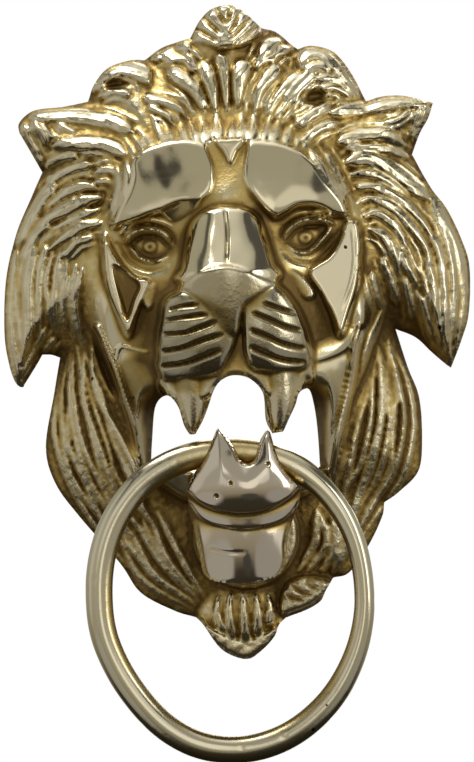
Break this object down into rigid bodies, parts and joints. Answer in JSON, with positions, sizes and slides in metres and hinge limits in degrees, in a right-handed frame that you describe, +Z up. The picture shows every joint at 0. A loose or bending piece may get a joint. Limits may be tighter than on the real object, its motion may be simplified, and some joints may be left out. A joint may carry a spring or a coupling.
{
  "type": "door knocker",
  "caption": "Cast lion-head door knocker with an open mouth, a screwed-on lower jaw and a heavy ring that hangs behind the jaw's fangs and swings to strike the door.",
  "frame": {"origin": "on the door's surface, midway between the two fixing studs", "axes": "+X to the right of a person facing the door, +Y into the door along the studs, +Z up; the lion looks along -Y"},
  "size_m": [0.132, 0.0883, 0.2121],
  "materials": {
    "head_brass": "polished, with brown patina in the hollows",
    "jaw_brass": "bright polished",
    "ring_brass": "bright polished with casting pits",
    "steel": "zinc plated"
  },
  "bodies": {
    "head": {"head_casting": "head_brass", "lower_jaw": "jaw_brass", "jaw_screw_left": "steel", "jaw_screw_right": "steel", "jaw_washer_left": "steel", "jaw_washer_right": "steel", "fixing_stud_upper": "steel", "fixing_stud_lower": "steel", "stud_lock_nut_upper": "steel", "stud_lock_nut_lower": "steel"},
    "ring": {"knocker_ring": "ring_brass"}
  },
  "joints": [
    {"name": "ring_swing", "type": "hinge", "parent": "head", "child": "ring", "pos_m": [0.0018, -0.035, -0.0343], "axis": [-1, 0, 0], "range_deg": [-22, 105]}
  ]
}
